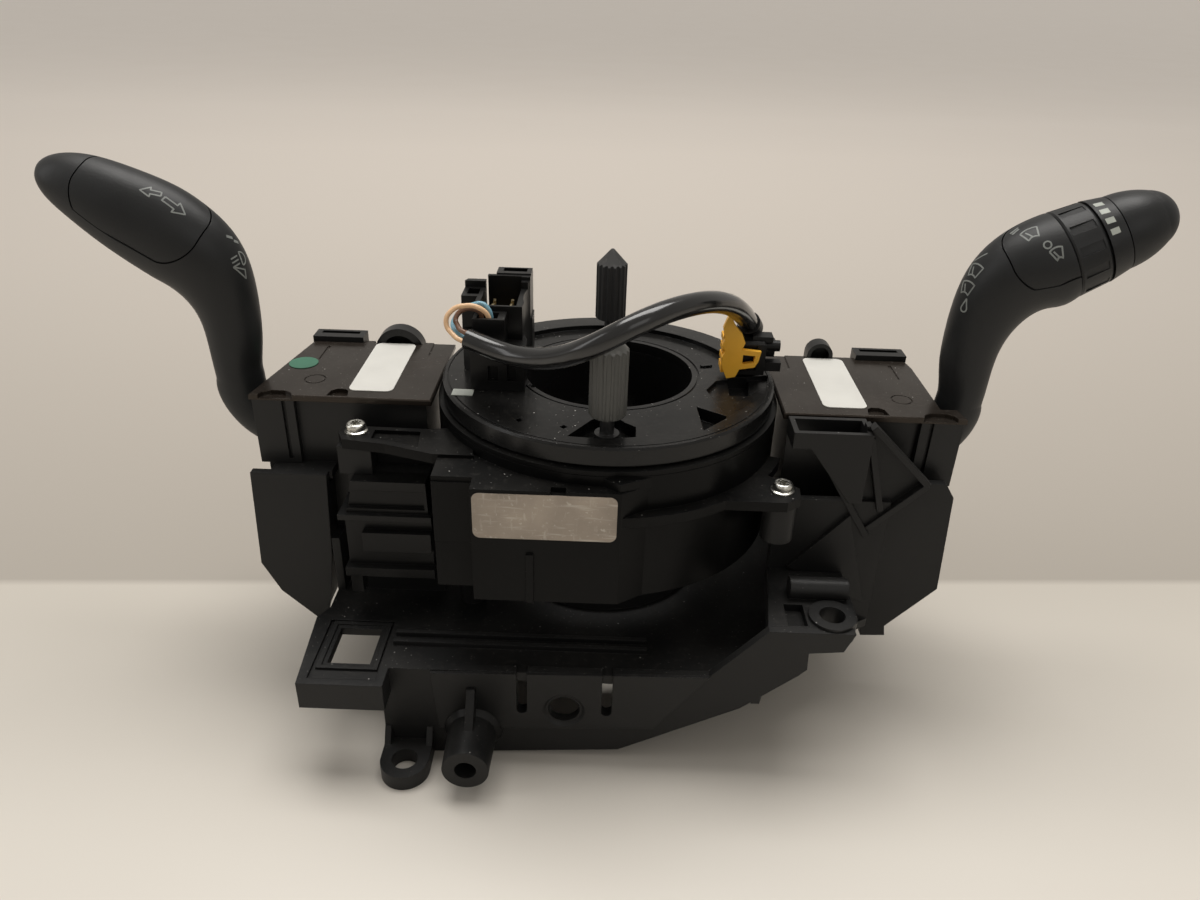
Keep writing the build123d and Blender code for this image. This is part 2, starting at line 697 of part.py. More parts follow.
def plunger():
    nose = pivot_x - tip_reach + plunger_radius
    body = rod_x(plunger_radius, nose, nose + 4.6, pivot_y, pivot_z)
    return body + Pos(nose, pivot_y, pivot_z) * Sphere(plunger_radius)


def plunger_spring():
    """The coil behind the plunger, closed up to a stack of turns."""
    start = pivot_x - tip_reach + plunger_radius + 4.6 + seat_gap
    end = pivot_x - 4.5 - seat_gap
    outer = plunger_radius - 0.1
    pitch = (end - start) / spring_turns
    outline = [(outer - 2 * spring_wire, 0)]
    for turn in range(spring_turns):
        outline += [(outer - spring_wire, pitch * turn), (outer, pitch * (turn + 0.5))]
    outline += [(outer - spring_wire, pitch * spring_turns), (outer - 2 * spring_wire, pitch * spring_turns)]
    body = revolve(Plane.XZ * make_face(Polyline(*outline, close=True)), Axis.Z)
    return Pos(start, pivot_y, pivot_z) * Rot(0, 90, 0) * body


def detent_cam(notches):
    """The block that the plunger rides on, hollowed round the lever's centre."""
    back = module_inner + cover_overhang + wall
    body = block(back, back + 7.0, pivot_y - 9, pivot_y + 9, pivot_z - 8, pivot_z + 8)
    body -= Pos(pivot_x, pivot_y, pivot_z) * Sphere(tip_reach + running_gap)
    for turn in notches:
        groove = Pos(-tip_reach - running_gap, 0, 0) * Cylinder(1.4, 30)
        body -= Pos(pivot_x, pivot_y, pivot_z) * Rot(0, 0, turn) * groove
    return body


def position_magnet():
    return block(pivot_x - 3, pivot_x + 3, pivot_y + 8.2, pivot_y + 10.8, yoke_low - 3.0, yoke_low)


def switch_board():
    top = case_floor + 1.6
    body = block(module_inner + 5, module_inner + 41, -13.5, 20.5, case_floor, top)
    body -= disc(bearing_radius + 0.4, case_floor - 1, top + 1, pivot_x, pivot_y)
    body += block(pivot_x - 2.5, pivot_x + 2.5, pivot_y + 7.5, pivot_y + 11.5, top, top + 1.2)
    for x in (9, 15, 33, 37):
        body += block(module_inner + x, module_inner + x + 3, -9, -7, top, top + 1.0)
    return body


# ---------------------------------------------------------------- stalks
# Stations along each stalk, measured from the lever's pivot: centre x and z, half width, half depth
# and heading in degrees.
left_elbow = [(22.5, 0, 6.4, 6.4, 0), (30.0, 0.4, 8.0, 6.8, 20), (36.2, 6.0, 7.2, 6.9, 60)]
left_neck = [(37.9, 15.0, 7.0, 7.2, 88), (37.7, 25.0, 7.8, 7.4, 90), (37.7, 33.0, 8.6, 7.8, 86),
             (39.0, 41.5, 10.2, 8.6, 73), (42.4, 49.6, 12.4, 9.8, 57)]
left_grip = [(49.0, 56.4, 13.5, 10.8, 38), (58.5, 62.6, 13.0, 10.9, 31), (68.0, 68.0, 11.1, 10.0, 29),
             (75.5, 71.8, 8.9, 8.2, 25), (81.0, 73.4, 6.3, 6.0, 14), (84.4, 73.8, 3.0, 2.9, 6)]
right_elbow = [(19.5, 0, 6.4, 6.4, 0), (25.0, 0.6, 7.6, 6.6, 18), (30.6, 6.0, 7.0, 6.8, 58)]
right_neck = [(32.3, 15.0, 6.7, 7.0, 88), (32.1, 23.0, 7.3, 7.2, 90), (32.0, 33.0, 8.3, 7.6, 87),
              (33.4, 41.5, 9.6, 8.4, 76), (36.6, 49.8, 11.6, 9.8, 61)]
right_bend = [(42.6, 56.2, 13.0, 11.8, 40)]
left_axis_start = (59.8, 64.0)
axis_start = (51.0, 61.0)
ring_length = 9.5
band_length = 5.4
cap_length = 16.3
ring_radius = 12.9
band_radius = 12.1
cap_radius = 10.9
core_rod = 5.0
spigot_radius = 3.0


def station(x, z, half_width, half_depth, heading):
    turn = radians(heading)
    origin = (pivot_x + x, pivot_y, pivot_z + z)
    plane = Plane(origin=origin, x_dir=(0, 1, 0), z_dir=(cos(turn), 0, sin(turn)))
    points = []
    for step in range(8):
        angle = radians(45 * step)
        points.append((half_depth * cos(angle), half_width * sin(angle)))
    return plane * make_face(Spline(points, periodic=True))


def stalk_body(stations):
    """The elbow at the module and the stalk above it meet at the fourth station."""
    faces = [station(*values) for values in stations]
    return loft(faces[:4]) + loft(faces[3:])


def grip_frame(centre, heading):
    """A frame on the grip's axis: Z along the axis, X towards the driver's side of the panel."""
    turn = radians(heading)
    facing = radians(48)
    x_dir = (-sin(turn) * sin(facing), -cos(facing), cos(turn) * sin(facing))
    origin = (pivot_x + centre[0], pivot_y, pivot_z + centre[1])
    return Plane(origin=origin, x_dir=x_dir, z_dir=(cos(turn), 0, sin(turn)))


def panel_cutter(frame, start, end, level, spare):
    """The space of the grip panel: a rounded block above a level on the panel's side of the axis."""
    outline = RectangleRounded(end - start + 2 * spare, 21.5 + 2 * spare, 8.0 + spare)
    cutter = extrude(outline, 30)
    lay = Plane(origin=frame.from_local_coords((level - spare, 0, (start + end) / 2)),
                x_dir=frame.z_dir, z_dir=frame.x_dir)
    return lay.location * cutter


def left_stalk():
    """Drawn on the right and mirrored: the lever's shell and the grip panel let into it."""
    body = stalk_body(left_elbow + left_neck + left_grip)
    frame = grip_frame(left_axis_start, grip_angle_left)
    panel = body & panel_cutter(frame, -19.5, 15.5, 3.0, 0)
    shell = body - panel_cutter(frame, -19.5, 15.5, 3.0, panel_groove)
    return shell + lever_root(), panel


def right_stalk():
    heading = grip_angle_right
    end = (*axis_start, ring_radius, ring_radius, heading)
    body = stalk_body(right_elbow + right_neck + right_bend + [end])
    frame = grip_frame(axis_start, heading)
    panel = body & panel_cutter(frame, -15.0, 8.0, 6.5, 0)
    shell = body - panel_cutter(frame, -15.0, 8.0, 6.5, panel_groove)
    shell -= frame.location * Pos(0, 0, -4) * Cylinder(core_rod + 0.02, 9)
    return shell + lever_root(), panel


def on_axis(shape):
    """Puts a shape drawn along Z onto the right grip's axis."""
    return grip_frame(axis_start, grip_angle_right).location * shape


def turned(points):
    """A solid of revolution from its outline of radius and height."""
    return revolve(Plane.XZ * make_face(Polyline(*points, close=True)), Axis.Z)


def wiper_ring():
    low = running_gap
    high = ring_length - running_gap
    hole = core_rod + pin_fit
    body = turned([(hole, low), (ring_radius - 0.5, low), (ring_radius - 0.1, low + 0.6),
                   (band_radius, high - 0.6), (band_radius - 0.5, high), (hole, high)])
    for step in range(rib_count):
        groove = Pos(ring_radius + 0.3, 0, ring_length / 2) * Rot(0, -3, 0) * Box(2.2, 2.6, ring_length - 3)
        body -= Rot(0, 0, 360 / rib_count * step) * groove
    return on_axis(body)


def wiper_band():
    low = ring_length
    high = ring_length + band_length
    points = [(0, -8.4), (core_rod, -8.4), (core_rod, low), (band_radius, low), (cap_radius, high),
              (spigot_radius, high), (spigot_radius, high + 9.0), (0, high + 9.0)]
    return on_axis(turned(points))


def wiper_end_cap():
    low = ring_length + band_length + running_gap
    top = low + cap_length
    hole = spigot_radius + pin_fit
    # the nose is a part of a sphere that starts at the shoulder
    shoulder_radius = cap_radius - 3.1
    nose_height = cap_length * 0.32
    nose = (shoulder_radius ** 2 + nose_height ** 2) / (2 * nose_height)
    half_angle = asin(shoulder_radius / nose) / 2
    shoulder = (shoulder_radius, top - nose_height)
    nose_middle = (nose * sin(half_angle), top - nose + nose * cos(half_angle))
    profile = [Line((hole, low), (cap_radius - 0.1, low)),
               ThreePointArc((cap_radius - 0.1, low), (cap_radius - 0.9, low + cap_length * 0.36), shoulder),
               ThreePointArc(shoulder, nose_middle, (0, top)),
               Line((0, top), (0, low + 9.3)), Line((0, low + 9.3), (hole, low + 9.3)),
               Line((hole, low + 9.3), (hole, low))]
    return on_axis(revolve(Plane.XZ * make_face(profile), Axis.Z))


# ---------------------------------------------------------------- side connector on the left
def side_connector():
    body = front([(-74.2, -32), (-72.1, -21.5), (-50.8, -21.5), (-50.5, -32)], -35, -24)
    body += block(-76.5, -49.5, -36.5, -24, -33.8, -32)
    body += block(-75.2, -50, -34.0, -24, -52, -33.8)
    body += block(-70.0, -50, -36.4, -34.0, -44.5, -38)
    body += block(-76.0, -49.5, -36.5, -24, -53.5, -50.5)
    body += block(-75, -71.5, -35.5, -31, -60, -53.5)
    body -= block(-74, -51.5, -36, -33.5, -30.5, -24.5)
    # plug mouth, open downward
    body -= block(-68.5, -51.5, -32.5, -25.5, -55, -30)
    return body


def side_connector_pins():
    body = block(-68.4, -51.6, -32.4, -25.6, -31.9, -30)
    for step in range(6):
        x = -66.5 + 2.8 * step
        body += block(x - 0.35, x + 0.35, -30.9, -30.2, -42, -31.9)
        body += block(x - 0.35, x + 0.35, -28.1, -27.4, -42, -31.9)
    return body


# ---------------------------------------------------------------- carrier
left_wing = [(-104.5, -25.5), (-82, -25.5), (-83.5, -54), (-85.5, -70), (-88, -79), (-90.5, -79),
             (-101, -68.5), (-106, -58)]
right_wing = [(76.5, -36), (79.4, -42), (82.2, -48.3), (83.3, -74.8), (83.8, -78), (91.5, -77.7), (90.8, -74),
              (104.5, -58.7), (102.5, -25.6), (99.6, -21.2), (92.1, -21.2), (90, -19.5)]
front_skirt = [(-48, -67.5), (31.5, -66.5), (46.4, -49.5), (70.1, -49.5), (67.6, -55.8), (58.1, -56.7),
               (58.4, -62.6), (56.3, -64.9), (41.1, -78), (6.7, -96.2), (-30.4, -98.6), (-48, skirt_bottom)]
front_panel = [(-47.4, -68), (31.5, -66), (16.6, -86.4), (-46, -88.9)]


def grown(bounds, step):
    x0, x1, y0, y1 = bounds
    return (x0 - step, x1 + step, y0 - step, y1 + step)


def tray():
    """The tray at the left: turned-down edge, recessed field and a raised frame round its window."""
    outline = [(tray_left - 2.4, -39), (tray_left, tray_front), (tray_right, tray_front), (tray_right, -39)]
    body = plan(outline, plate_top - tray_edge, plate_top)
    inside = [(tray_left - 0.4, -38), (tray_left + wall, tray_front + wall),
              (tray_right - wall, tray_front + wall), (tray_right - wall, -38)]
    body -= plan(inside, plate_top - tray_edge - 1, plate_top - plate_thickness)
    field = (tray_left + tray_rim, tray_right - tray_rim, tray_front + tray_rim, -40)
    body -= block(*field, plate_top - tray_recess, plate_top + 1)
    frame = block(*grown(tray_window, 2.6), plate_top - tray_recess, plate_top)
    return body + frame - block(*grown(tray_window, 1.3), plate_top - 0.5, plate_top + 1)


def carrier_plate():
    under = plate_top - plate_thickness
    outline = [(-skirt_half, front_wall_y), (46, front_wall_y), (58, -46), (cheek, -30), (cheek, skirt_back),
               (-cheek, skirt_back), (-cheek, -34), (tray_left - 2.4, -39)]
    body = plan(outline, under, plate_top)
    # skirt walls under the plate, down to the feet
    thick = front_wall_thickness
    body += block(-skirt_half, -skirt_half + thick, front_wall_y, skirt_back, skirt_bottom, under)
    body += block(skirt_half - thick, skirt_half, -20, skirt_back, skirt_bottom, under)
    body += block(-skirt_half, skirt_half, skirt_back - thick, skirt_back, skirt_bottom, under)
    slant = [(44, front_wall_y), (44 + thick, front_wall_y), (skirt_half, -20), (skirt_half - thick, -20)]
    body += plan(slant, under - 5.5, under)
    # the recessed field of the tray runs into the plate
    body -= plan([(-86, -40), (-61.8, -40), (-61.8, -62)], plate_top - tray_recess, plate_top + 1)
    body += tray()
    body -= block(*tray_window, under - 2, plate_top + 2)
    # rails across the front
    for y in (-50.5, -46.5):
        body += block(-60, 14, y, y + 1.4, plate_top, plate_top + 1.6)
    return body


def column_collar():
    under = plate_top - 20
    outside = column_bore + collar_wall
    body = ring(outside, column_bore, under, plate_top + 4)
    rib = block(outside - 0.5, outside + 9, -1.2, 1.2, under + 4, plate_top - plate_thickness)
    for turn in range(0, 360, 60):
        body += Rot(0, 0, turn) * rib
    return body


def front_wall():
    body = front(front_skirt, front_wall_y, front_wall_y + front_wall_thickness)
    body += block(-skirt_half, -48, front_wall_y, front_wall_y + front_wall_thickness, skirt_bottom,
                  plate_top - plate_thickness)
    body += front(front_panel, front_wall_y - 1.0, front_wall_y)
    for x in (-21.6, 2.8):
        body -= block(x - 1.5, x + 1.5, front_wall_y - 3, front_wall_y + 4, -80.5, -60)
        body -= rod_y(1.5, front_wall_y - 3, front_wall_y + 4, x, -80.5)
    body -= rod_y(4.6, front_wall_y - 3, front_wall_y + 4, -9.5, -80.6)
    body -= Pos(-9.5, front_wall_y - 1.0, -80.6) * Rot(90, 0, 0) * Cone(5.2, 7.0, 1.6)
    return body


def front_boss():
    """The long hollow boss on the front wall, with its flared foot and rib."""
    tip = front_wall_y - boss_length
    body = Pos(boss_x, (tip + front_wall_y) / 2, boss_z) * Rot(90, 0, 0) * \
        Cone(boss_radius + 0.6, boss_radius, boss_length)
    foot = Cone(boss_radius + 2.2, boss_radius + 0.4, 3)
    body += Pos(boss_x, front_wall_y - 1.5, boss_z) * Rot(90, 0, 0) * foot
    rib = [(front_wall_y, boss_z), (front_wall_y, boss_z + 16), (front_wall_y - 2, boss_z + 16),
           (front_wall_y - 10, boss_z + 5), (front_wall_y - 10, boss_z)]
    body += side(rib, boss_x - 1.2, boss_x + 1.2)
    return body - rod_y(boss_hole_radius, tip - 1, tip + 14, boss_x, boss_z)


def ear():
    """The lug with a hole at the lower left corner."""
    top = skirt_bottom + ear_thickness
    tip = front_wall_y - ear_reach
    body = block(ear_x - ear_half, ear_x + ear_half, tip, front_wall_y, skirt_bottom, top)
    body += disc(ear_half, skirt_bottom, top, ear_x, tip)
    gusset = [(front_wall_y, top), (front_wall_y, top + 5), (front_wall_y - 3, top)]
    for x in (ear_x - ear_half, ear_x + ear_half - 1.8):
        body += side(gusset, x, x + 1.8)
    return body - disc(ear_hole_radius, skirt_bottom - 1, top + 2, ear_x, tip)


def corner_shelf():
    """The flat at the lower right, with its screw boss, slot and the rounded bar behind them."""
    low = right_boss_z - shelf_thickness
    edge = front_wall_y + front_wall_thickness
    body = plan([(46.4, edge), (72, edge), (72, -30), (50, -30)], low, right_boss_z)
    body = fillet(body.edges().filter_by(Axis.Z).sort_by_distance((72, edge, low))[0], 5.0)
    body += rod_x(3.2, 54, 70.7, -43.0, right_boss_z + 2.6)
    at = (right_boss_x, right_boss_y)
    body += ring(right_boss_radius, right_boss_hole, right_boss_z, right_boss_z + 1.0, *at)
    body -= disc(right_boss_hole, low - 1, right_boss_z + 8, *at)
    return body - block(52.0, 57.4, -57, -47.6, right_boss_z - 2.5, right_boss_z + 1)


def right_wall():
    """The wall behind the shelf, its gusset and the short boss under the right stator screw."""
    low = right_boss_z - shelf_thickness
    body = block(50, cheek, -30, -27.5, low, guide_low)
    body += front([(71.4, -29.2), (55.5, -48.1), (80.5, -60.6)], -31.5, -30)
    body += block(69.5, cheek, -30, -27.5, plate_top, low)
    x, y, top = stator_screws[0]
    seat = top - flange_thickness
    body += disc(4.6, seat - 12, seat, x, y) + block(x - 1.2, x + 3, y, -27.5, seat - 12, seat - 1)
    return body - disc(screw_shank_radius + 0.02, seat - 11, top, x, y)


def guide_ring():
    """The rectangular ring on the right wall, with the kite-shaped plate and ribs that carry it."""
    x0, x1, y0, y1 = guide_outside
    ring_side = [(x0, guide_top), (x1, guide_top), (x1, guide_low), (x1 - 3.7, guide_low),
                 (x0 + 5.3, guide_top - guide_ring_height), (x0, guide_top - guide_ring_height)]
    body = front(ring_side, y0, y1)
    web = [(57, -5), (73.8, -1.5), (92.1, -18.8), (77.4, -33.4), (77.4, -37)]
    body += front(web, -28.5, wing_face_y)
    for a, b in (((57.2, -4.9), (77.4, -36.6)), ((73.6, -4.3), (79.9, -27.7)), ((73.8, -1), (92.1, -18.8)),
                 ((92.1, -18.8), (77.1, -34))):
        length = hypot(b[0] - a[0], b[1] - a[1])
        turn = degrees(atan2(b[1] - a[1], b[0] - a[0]))
        body += Pos((a[0] + b[0]) / 2, -29.5, (a[1] + b[1]) / 2) * Rot(0, -turn, 0) * Box(length, 3.2, 1.8)
    return body


def side_frame(way):
    """The cheek and the shelf that carry one module, for the right (1) or the left (-1)."""
    under = plate_top - plate_thickness
    shelf = case_bottom - 3
    shelf_end = pivot_x + 23
    body = block(cheek - wing_thickness, cheek, wing_face_y, skirt_back, under, shelf)
    body += block(module_inner + cover_overhang, shelf_end, module_front + 1, module_back + 4, shelf,
                  case_bottom)
    body += block(shelf_end - 3, shelf_end, wing_face_y, module_front + 1, shelf, wing_ledge - 4)
    body += block(cheek - wall, shelf_end, wing_face_y + wing_thickness, module_front + cover_overhang,
                  wing_ledge - 2.5, wing_ledge)
    body += block(module_inner, module_inner + 3, module_back + 4, skirt_back, plate_top, case_bottom)
    body += block(module_inner, cheek, skirt_back - 2.5, skirt_back, plate_top, case_bottom)
    return body if way > 0 else mirrored(body)


def carrier():
    body = carrier_plate() + column_collar() + front_wall() + right_wall() + guide_ring()
    body += front(right_wing, wing_face_y, wing_face_y + wing_thickness)
    body += front(left_wing, wing_face_y, wing_face_y + wing_thickness)
    body += side_frame(1) + side_frame(-1)
    # pillars under the stator
    for x, y in ((36, 30), (-36, 30), (-40, -26)):
        body += disc(4.0, plate_top, stator_floor, x, y)
    # post under the left stator screw, and the wall behind the side connector
    x, y, top = stator_screws[1]
    body += block(-76, -49, -24, -21.5, plate_top, -13)
    body += block(-76, -66.5, -31, -21.5, -21.4, top - flange_thickness - seat_gap)
    body -= disc(screw_shank_radius + 0.02, top - 12, top, x, y)
    body -= disc(column_bore, skirt_bottom, stator_floor)
    # the way through the ring on the right, and the seats of the boss and the shelf
    body -= block(*grown(guide_outside, -guide_wall), guide_low + 0.2, 0)
    return body - front_boss() - corner_shelf()


# ---------------------------------------------------------------- screws
def flange_screw(x, y, seat):
    """A screw with a flange and a rounded six-lobe head."""
    neck = screw_flange_height
    top = neck + screw_head_height
    profile = [Line((0, -10), (screw_shank_radius, -10)),
               Line((screw_shank_radius, -10), (screw_shank_radius, 0)),
               Line((screw_shank_radius, 0), (screw_flange_radius, 0)),
               Line((screw_flange_radius, 0), (screw_flange_radius, neck - 0.3)),
               Line((screw_flange_radius, neck - 0.3), (screw_head_radius, neck)),
               Line((screw_head_radius, neck), (screw_head_radius, top - 0.7)),
               ThreePointArc((screw_head_radius, top - 0.7), (screw_head_radius - 0.35, top - 0.15),
                             (screw_head_radius - 1.0, top)),
               Line((screw_head_radius - 1.0, top), (0, top)), Line((0, top), (0, -10))]
    body = revolve(Plane.XZ * make_face(profile), Axis.Z)
    for turn in (0, 60, 120):
        body -= Pos(0, 0, top) * Rot(0, 0, turn) * Box(0.8, 3.0, 2.8)
    return Pos(x, y, seat) * body


# ---------------------------------------------------------------- nodes
gears = gear_places()
nodes["rotor_disc"] = rotor_disc()
nodes["rotor_hub"] = rotor_hub()
for way, place in ((-1, "front"), (1, "rear")):
    nodes[place + "_pin_sleeve"] = fluted_sleeve(way * pin_offset)
    nodes[place + "_pin_core"] = pin_core(way * pin_offset)
nodes["rotor_connector"] = rotor_connector()
nodes["rotor_terminals"] = terminal_block()
nodes["airbag_lead"] = route_tube(airbag_route, lead_radius, "airbag lead")
nodes["orange_wire"] = core_wire(150, orange_route, "orange wire")
nodes["brown_wire"] = core_wire(270, brown_route, "brown wire")
nodes["blue_wire"] = core_wire(30, blue_route, "blue wire")
nodes["airbag_plug"] = airbag_plug()
nodes["plug_lock"] = plug_lock()
nodes["sensor_ring_gear"] = ring_gear()
nodes["sensor_gear_small"] = sensor_gear(gears[0])
nodes["sensor_gear_large"] = sensor_gear(gears[1])
nodes["sensor_board"] = sensor_board()
nodes["stator_housing"] = stator_housing()
nodes["stator_cover"] = stator_cover()
nodes["stator_partition"] = partition()
nodes["ribbon_cable"] = ribbon()
nodes["carrier"] = carrier()
nodes["carrier_ear"] = ear()
nodes["carrier_boss"] = front_boss()
nodes["carrier_shelf"] = corner_shelf()
nodes["side_connector"] = side_connector()
nodes["side_connector_pins"] = side_connector_pins()
nodes["left_module_case"] = mirrored(module_case(left_tab_radius))
nodes["left_module_cover"] = mirrored(module_cover(left_tab_radius))
nodes["right_module_case"] = module_case(right_tab_radius)
nodes["right_module_cover"] = module_cover(right_tab_radius) - stalk_relief()
both_sides("module_label", label_plate())
both_sides("yoke", yoke())
both_sides("lever_pin", lever_pin())
both_sides("plunger", plunger())
both_sides("plunger_spring", plunger_spring())
both_sides("magnet", position_magnet())
both_sides("switch_board", switch_board())
nodes["left_detent_cam"] = mirrored(detent_cam((-turn_swing, 0, turn_swing)))
nodes["right_detent_cam"] = detent_cam((-turn_swing, -turn_swing / 3, turn_swing / 3, turn_swing))
nodes["front_label"] = front_label()
nodes["tape_strip"] = tape_strip()
nodes["marker_dot"] = marker_dot()
lever, panel = left_stalk()
nodes["left_lever"] = mirrored(lever)
nodes["left_grip_panel"] = mirrored(panel)
lever, panel = right_stalk()
nodes["right_lever"] = lever
nodes["right_grip_panel"] = panel
nodes["wiper_ring"] = wiper_ring()
nodes["wiper_band"] = wiper_band()
nodes["wiper_end_cap"] = wiper_end_cap()
nodes["stator_screws"] = Compound([flange_screw(*place) for place in stator_screws])

for name, shape in nodes.items():
    export_step(shape, "parts/" + name + ".step")
print(len(nodes), "nodes")
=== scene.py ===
"""Combination stalk switch: looks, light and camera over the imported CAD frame. Metres, row frame."""
import bpy
import bmesh
import json
from math import cos, radians, sin, sqrt
from mathutils import Euler, Matrix, Vector
from mathutils.bvhtree import BVHTree


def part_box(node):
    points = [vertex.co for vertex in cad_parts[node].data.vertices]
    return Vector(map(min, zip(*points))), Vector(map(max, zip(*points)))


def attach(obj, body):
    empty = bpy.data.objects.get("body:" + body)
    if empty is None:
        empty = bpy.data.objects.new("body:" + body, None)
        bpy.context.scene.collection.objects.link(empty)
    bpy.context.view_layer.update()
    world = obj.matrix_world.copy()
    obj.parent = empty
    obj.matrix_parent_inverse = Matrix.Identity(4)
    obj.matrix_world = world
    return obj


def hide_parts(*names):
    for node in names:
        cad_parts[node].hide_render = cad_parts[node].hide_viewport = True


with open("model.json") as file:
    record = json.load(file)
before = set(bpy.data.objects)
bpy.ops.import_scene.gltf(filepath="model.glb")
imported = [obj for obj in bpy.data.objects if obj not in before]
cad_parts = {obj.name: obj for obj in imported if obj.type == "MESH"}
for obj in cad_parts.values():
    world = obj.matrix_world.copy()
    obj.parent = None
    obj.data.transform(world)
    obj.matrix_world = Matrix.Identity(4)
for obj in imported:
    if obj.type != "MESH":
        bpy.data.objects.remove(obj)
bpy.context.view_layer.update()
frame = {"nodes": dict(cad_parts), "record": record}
NODES = frame["nodes"]
MM = 0.001
scene = bpy.context.scene

# ---------------------------------------------------------------- camera, at the photograph's angle
CAMERA_PLACE = (-0.645, -252.83, 110.16)   # millimetres
CAMERA_PITCH = 28.593                      # degrees below the horizon
CAMERA_YAW = 0.269
CAMERA_ROLL = 1.924
LENS = 27.0                                # millimetres, on the sensor below
SENSOR = 36.0
CLIP = (0.01, 50.0)                        # metres


def make_camera():
    data = bpy.data.cameras.new("camera")
    data.lens = LENS
    data.sensor_width = SENSOR
    data.clip_start, data.clip_end = CLIP
    camera = bpy.data.objects.new("camera", data)
    scene.collection.objects.link(camera)
    camera.location = Vector(CAMERA_PLACE) * MM
    look = Euler((radians(90 - CAMERA_PITCH), 0, radians(CAMERA_YAW)), "XYZ").to_matrix()
    camera.rotation_euler = (look @ Matrix.Rotation(radians(CAMERA_ROLL), 3, "Z")).to_euler()
    scene.camera = camera


make_camera()


# ---------------------------------------------------------------- material helpers
def new_material(name):
    material = bpy.data.materials.new(name)
    material.use_nodes = True
    nodes = material.node_tree.nodes
    nodes.clear()
    output = nodes.new("ShaderNodeOutputMaterial")
    shader = nodes.new("ShaderNodeBsdfPrincipled")
    material.node_tree.links.new(shader.outputs[0], output.inputs[0])
    return material, shader


class Graph:
    """Short calls for the nodes that the materials below share."""

    def __init__(self, material, shader):
        self.tree = material.node_tree
        self.shader = shader
        self.place = self.tree.nodes.new("ShaderNodeTexCoord").outputs["Object"]

    def link(self, a, b):
        self.tree.links.new(a, b)

    def stretched(self, stretch):
        mapping = self.tree.nodes.new("ShaderNodeMapping")
        mapping.inputs["Scale"].default_value = stretch
        self.link(self.place, mapping.inputs["Vector"])
        return mapping.outputs[0]

    def noise(self, scale, detail, stretch=(1, 1, 1)):
        node = self.tree.nodes.new("ShaderNodeTexNoise")
        node.inputs["Scale"].default_value = scale
        node.inputs["Detail"].default_value = detail
        self.link(self.stretched(stretch), node.inputs["Vector"])
        return node.outputs["Fac"]

    def spots(self, scale, size, stretch=(1, 1, 1)):
        """1 in small round spots, one in each cell of the scale, 0 between them."""
        node = self.tree.nodes.new("ShaderNodeTexVoronoi")
        node.inputs["Scale"].default_value = scale
        self.link(self.stretched(stretch), node.inputs["Vector"])
        return self.span(node.outputs["Distance"], size * 0.6, size, 1.0, 0.0)

    def span(self, value, low, high, to_low=0.0, to_high=1.0):
        node = self.tree.nodes.new("ShaderNodeMapRange")
        node.inputs["From Min"].default_value = low
        node.inputs["From Max"].default_value = high
        node.inputs["To Min"].default_value = to_low
        node.inputs["To Max"].default_value = to_high
        self.link(value, node.inputs["Value"])
        return node.outputs["Result"]

    def mix(self, factor, a, b):
        node = self.tree.nodes.new("ShaderNodeMix")
        node.data_type = "RGBA"
        self.link(factor, node.inputs["Factor"])
        for value, socket in ((a, node.inputs["A"]), (b, node.inputs["B"])):
            if isinstance(value, tuple):
                socket.default_value = (*value, 1.0)
            else:
                self.link(value, socket)
        return node.outputs["Result"]

    def math(self, operation, a, b):
        node = self.tree.nodes.new("ShaderNodeMath")
        node.operation = operation
        for value, socket in ((a, node.inputs[0]), (b, node.inputs[1])):
            if isinstance(value, (int, float)):
                socket.default_value = value
            else:
                self.link(value, socket)
        return node.outputs[0]

    def upward(self):
        """1 where the surface faces up, 0 where it stands or faces down."""
        split = self.tree.nodes.new("ShaderNodeSeparateXYZ")
        self.link(self.tree.nodes.new("ShaderNodeNewGeometry").outputs["Normal"], split.inputs[0])
        return self.span(split.outputs["Z"], 0.3, 1.0)

    def worn(self):
        """1 on outward edges."""
        pointed = self.tree.nodes.new("ShaderNodeNewGeometry").outputs["Pointiness"]
        return self.span(pointed, 0.53, 0.62)

    def bump(self, height, distance, edge=0.0):
        node = self.tree.nodes.new("ShaderNodeBump")
        node.inputs["Distance"].default_value = distance
        node.inputs["Strength"].default_value = 1.0
        self.link(height, node.inputs["Height"])
        if edge:
            bevel = self.tree.nodes.new("ShaderNodeBevel")
            bevel.samples = 3
            bevel.inputs["Radius"].default_value = edge
            self.link(bevel.outputs[0], node.inputs["Normal"])
        self.link(node.outputs[0], self.shader.inputs["Normal"])


DUST_COLOUR = (0.30, 0.28, 0.25)
LINT_COLOUR = (0.55, 0.53, 0.50)


